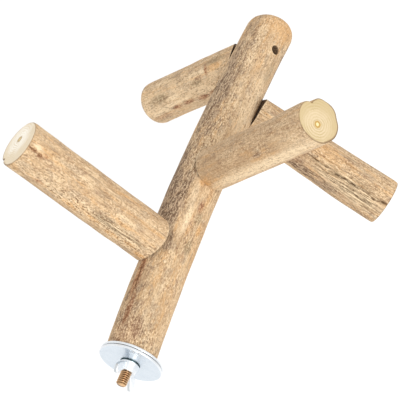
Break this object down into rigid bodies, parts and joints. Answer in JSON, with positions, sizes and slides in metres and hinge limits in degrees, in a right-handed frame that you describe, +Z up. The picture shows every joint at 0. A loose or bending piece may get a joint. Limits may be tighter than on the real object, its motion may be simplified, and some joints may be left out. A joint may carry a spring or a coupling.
{
  "type": "bird perch",
  "caption": "Natural wood cage perch: a bowed trunk with side branches screwed to it, and a threaded stud with wide washers and a wing nut that clamp it to the wires of a cage.",
  "frame": {"origin": "on the stud's axis, midway between the two washers, where the cage wires are clamped", "axes": "+Y along the stud from the cage into the trunk, +Z up, +X to the right of someone facing the cage wall from outside, looking along +Y"},
  "size_m": [0.2081, 0.2729, 0.1863],
  "materials": {
    "trunk_bark": "sanded bark, matt, grey-brown with tan and orange patches",
    "branch_bark": "sanded bark, matt, beige and grey with fine lengthwise streaks, pale cut ends",
    "screw_steel": "dull plated steel",
    "yellow_plated_steel": "steel with yellow plating, thread slightly worn",
    "bright_zinc": "bright zinc plated steel, bluish white"
  },
  "bodies": {
    "perch": {"trunk": "trunk_bark", "lower_left_branch": "branch_bark", "upper_left_branch": "branch_bark", "front_right_branch": "branch_bark", "rear_right_branch": "branch_bark", "lower_left_screw": "screw_steel", "upper_left_screw": "screw_steel", "front_right_screw": "screw_steel", "rear_right_screw": "screw_steel", "hanger_bolt": "yellow_plated_steel", "inner_washer": "bright_zinc"},
    "loose_washer": {"outer_washer": "bright_zinc"},
    "nut": {"wing_nut": "bright_zinc"}
  },
  "joints": [
    {"name": "washer_travel", "type": "slide", "parent": "perch", "child": "loose_washer", "axis": [0, -1, 0], "range_m": [0, 0.00763]},
    {"name": "nut_turn", "type": "hinge", "parent": "loose_washer", "child": "nut", "pos_m": [0, 0, 0], "axis": [0, -1, 0], "range_deg": [0, 2160]}
  ],
  "couplings": [
    {"joint": "washer_travel", "follows": "nut_turn", "m_per_rad": 0.00020213}
  ]
}
